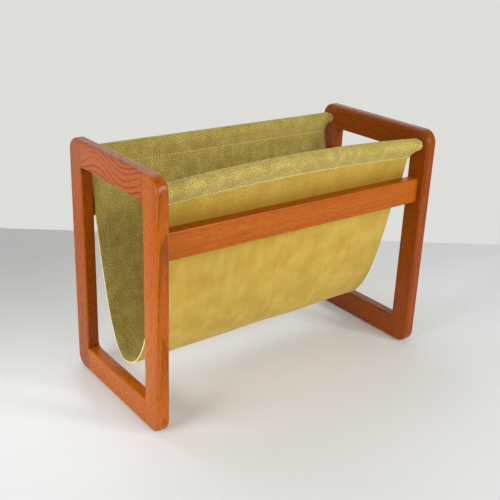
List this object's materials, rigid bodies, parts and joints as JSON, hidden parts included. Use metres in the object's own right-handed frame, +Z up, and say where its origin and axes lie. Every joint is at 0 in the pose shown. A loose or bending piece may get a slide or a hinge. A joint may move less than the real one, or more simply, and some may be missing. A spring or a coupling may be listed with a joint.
{
  "type": "magazine rack",
  "caption": "Low magazine rack: rounded wooden end frames joined by side rails, with a suede sling hung from dowel rods.",
  "frame": {"origin": "centre of the footprint, on the floor", "axes": "+X along the rack from the left end frame to the right, +Y from the front to the back, +Z up"},
  "size_m": [0.5, 0.244, 0.366],
  "materials": {
    "teak": "oiled reddish-brown teak, satin",
    "beech": "pale bare beech dowel",
    "suede": "olive-gold suede, matt nap, pale raw cut edge"
  },
  "bodies": {
    "root": {"left_front_post": "teak", "left_back_post": "teak", "left_top_rail": "teak", "left_bottom_rail": "teak", "right_front_post": "teak", "right_back_post": "teak", "right_top_rail": "teak", "right_bottom_rail": "teak", "front_side_rail": "teak", "back_side_rail": "teak", "left_front_top_upper_pin": "beech", "left_front_top_lower_pin": "beech", "left_front_bottom_upper_pin": "beech", "left_front_bottom_lower_pin": "beech", "left_back_top_upper_pin": "beech", "left_back_top_lower_pin": "beech", "left_back_bottom_upper_pin": "beech", "left_back_bottom_lower_pin": "beech", "right_front_top_upper_pin": "beech", "right_front_top_lower_pin": "beech", "right_front_bottom_upper_pin": "beech", "right_front_bottom_lower_pin": "beech", "right_back_top_upper_pin": "beech", "right_back_top_lower_pin": "beech", "right_back_bottom_upper_pin": "beech", "right_back_bottom_lower_pin": "beech", "left_front_side_upper_pin": "beech", "left_front_side_lower_pin": "beech", "left_back_side_upper_pin": "beech", "left_back_side_lower_pin": "beech", "right_front_side_upper_pin": "beech", "right_front_side_lower_pin": "beech", "right_back_side_upper_pin": "beech", "right_back_side_lower_pin": "beech", "front_rod": "beech", "back_rod": "beech", "sling": "suede"}
  },
  "joints": []
}
